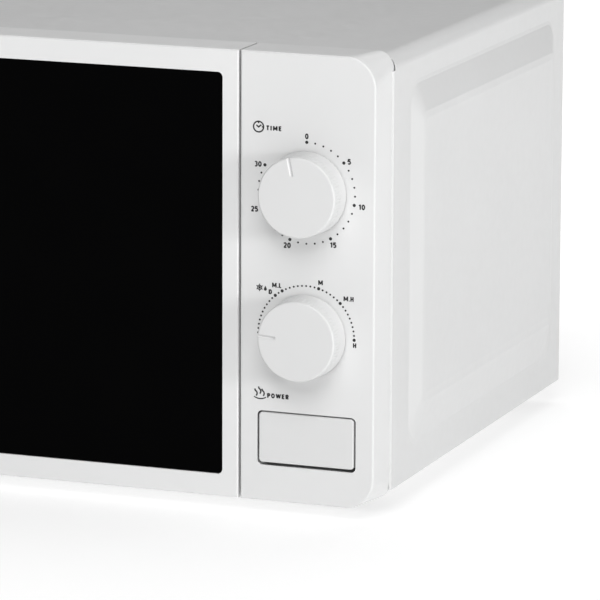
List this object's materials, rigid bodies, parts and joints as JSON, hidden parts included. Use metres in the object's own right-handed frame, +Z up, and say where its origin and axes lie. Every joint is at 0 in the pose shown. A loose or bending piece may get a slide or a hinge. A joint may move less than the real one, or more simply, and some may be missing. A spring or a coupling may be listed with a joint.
{
  "type": "microwave oven",
  "caption": "White countertop microwave oven with a side-hinged black glass door, two rotary dials, a release button, a turntable and its working parts inside.",
  "frame": {"origin": "under the middle of the whole oven, on the surface that its feet stand on", "axes": "+X to the right as seen by a user facing the door, -Y towards the user, +Z up"},
  "size_m": [0.4462, 0.3496, 0.26],
  "materials": {
    "white_enamel": "smooth satin powder coat",
    "cavity_enamel": "light grey speckled enamel",
    "white_plastic": "fine satin moulded plastic",
    "black_glass": "gloss black printed pane",
    "clear_film": "clear film",
    "tray_glass": "tempered clear glass",
    "grey_plastic": "dark satin plastic",
    "latch_plastic": "natural acetal",
    "zinc_steel": "zinc plated",
    "aluminium": "bare pressed aluminium",
    "ferrite": "dark grey ferrite",
    "copper_winding": "enamelled copper wire",
    "switch_plastic": "cream moulded switch housing",
    "mica": "mottled mica sheet",
    "lamp_glass": "clear bulb"
  },
  "bodies": {
    "chassis": {"outer_cabinet": "white_enamel", "rear_panel": "white_enamel", "base_plate": "white_enamel", "cavity_wrap": "cavity_enamel", "cavity_floor": "cavity_enamel", "cavity_back": "cavity_enamel", "front_flange": "cavity_enamel", "control_panel": "white_plastic", "fan_shroud": "grey_plastic", "interlock_bracket": "grey_plastic", "microswitches": "grey_plastic", "cord_bushing": "grey_plastic", "feet": "grey_plastic", "lamp_holder": "grey_plastic", "cabinet_screws": "zinc_steel", "hinge_plates": "zinc_steel", "hinge_pins": "zinc_steel", "waveguide": "zinc_steel", "magnetron_yoke": "zinc_steel", "magnetron_filter_box": "zinc_steel", "turntable_motor": "zinc_steel", "fan_motor": "zinc_steel", "timer_bell": "zinc_steel", "hv_capacitor": "zinc_steel", "capacitor_clamp": "zinc_steel", "thermal_cutouts": "zinc_steel", "button_spring": "zinc_steel", "magnetron_tube": "aluminium", "magnetron_magnets": "ferrite", "transformer_core": "ferrite", "transformer_windings": "copper_winding", "timer_unit": "switch_plastic", "power_selector": "switch_plastic", "hv_diode": "switch_plastic", "noise_filter_board": "switch_plastic", "waveguide_cover": "mica", "oven_lamp": "lamp_glass"},
    "door": {"door_frame": "white_plastic", "door_window": "black_glass", "door_choke_frame": "cavity_enamel", "door_screen": "cavity_enamel", "choke_cover": "grey_plastic", "door_inner_film": "clear_film", "latch_spring": "zinc_steel"},
    "latch": {"latch_hooks": "latch_plastic"},
    "button": {"release_button": "white_plastic"},
    "lever": {"release_lever": "latch_plastic"},
    "time_dial": {"time_knob": "white_plastic", "timer_shaft": "zinc_steel"},
    "power_dial": {"power_knob": "white_plastic", "selector_shaft": "zinc_steel"},
    "turntable": {"glass_tray": "tray_glass", "turntable_coupler": "latch_plastic", "turntable_shaft": "zinc_steel"},
    "ring": {"roller_ring": "latch_plastic"},
    "wheel_1": {"roller_1": "latch_plastic"},
    "wheel_2": {"roller_2": "latch_plastic"},
    "wheel_3": {"roller_3": "latch_plastic"},
    "fan": {"fan_blade": "latch_plastic", "fan_shaft": "zinc_steel"}
  },
  "joints": [
    {"name": "door_hinge", "type": "hinge", "parent": "chassis", "child": "door", "pos_m": [-0.21, -0.14375, 0.134], "axis": [0, 0, -1], "range_deg": [0, 105]},
    {"name": "latch_lift", "type": "slide", "parent": "door", "child": "latch", "axis": [0, 0, 1], "range_m": [0, 0.0039], "stiffness_N_per_m": 250, "springref_m": -0.003, "deforming": ["latch_spring"]},
    {"name": "button_press", "type": "slide", "parent": "chassis", "child": "button", "axis": [0, 1, 0], "range_m": [0, 0.005], "stiffness_N_per_m": 900, "springref_m": -0.002, "deforming": ["button_spring"]},
    {"name": "lever_turn", "type": "hinge", "parent": "chassis", "child": "lever", "pos_m": [0.14, -0.12225, 0.062], "axis": [1, 0, 0], "range_deg": [0, 18]},
    {"name": "time_turn", "type": "hinge", "parent": "chassis", "child": "time_dial", "pos_m": [0.1776, -0.15825, 0.1832], "axis": [0, 1, 0], "range_deg": [0, 312]},
    {"name": "power_turn", "type": "hinge", "parent": "chassis", "child": "power_dial", "pos_m": [0.1776, -0.15825, 0.1032], "axis": [0, 1, 0], "range_deg": [-5, 175]},
    {"name": "turntable_spin", "type": "hinge", "parent": "chassis", "child": "turntable", "pos_m": [-0.04, 0.01425, 0.031], "axis": [0, 0, 1], "continuous": true},
    {"name": "ring_spin", "type": "hinge", "parent": "chassis", "child": "ring", "pos_m": [-0.04, 0.01425, 0.031], "axis": [0, 0, 1], "continuous": true},
    {"name": "wheel_1_spin", "type": "hinge", "parent": "ring", "child": "wheel_1", "pos_m": [0.03881, 0.05975, 0.0383], "axis": [0.866, 0.5, 0], "continuous": true},
    {"name": "wheel_2_spin", "type": "hinge", "parent": "ring", "child": "wheel_2", "pos_m": [-0.11881, 0.05975, 0.0383], "axis": [-0.866, 0.5, 0], "continuous": true},
    {"name": "wheel_3_spin", "type": "hinge", "parent": "ring", "child": "wheel_3", "pos_m": [-0.04, -0.07675, 0.0383], "axis": [0, -1, 0], "continuous": true},
    {"name": "fan_spin", "type": "hinge", "parent": "chassis", "child": "fan", "pos_m": [0.165, 0.15, 0.178], "axis": [0, -1, 0], "continuous": true}
  ],
  "couplings": [
    {"joint": "latch_lift", "follows": "button_press", "ratio": 0.78},
    {"joint": "lever_turn", "follows": "button_press", "rad_per_m": 62.8},
    {"joint": "ring_spin", "follows": "turntable_spin", "ratio": 0.5},
    {"joint": "wheel_1_spin", "follows": "turntable_spin", "ratio": -6.5},
    {"joint": "wheel_2_spin", "follows": "turntable_spin", "ratio": -6.5},
    {"joint": "wheel_3_spin", "follows": "turntable_spin", "ratio": -6.5}
  ]
}
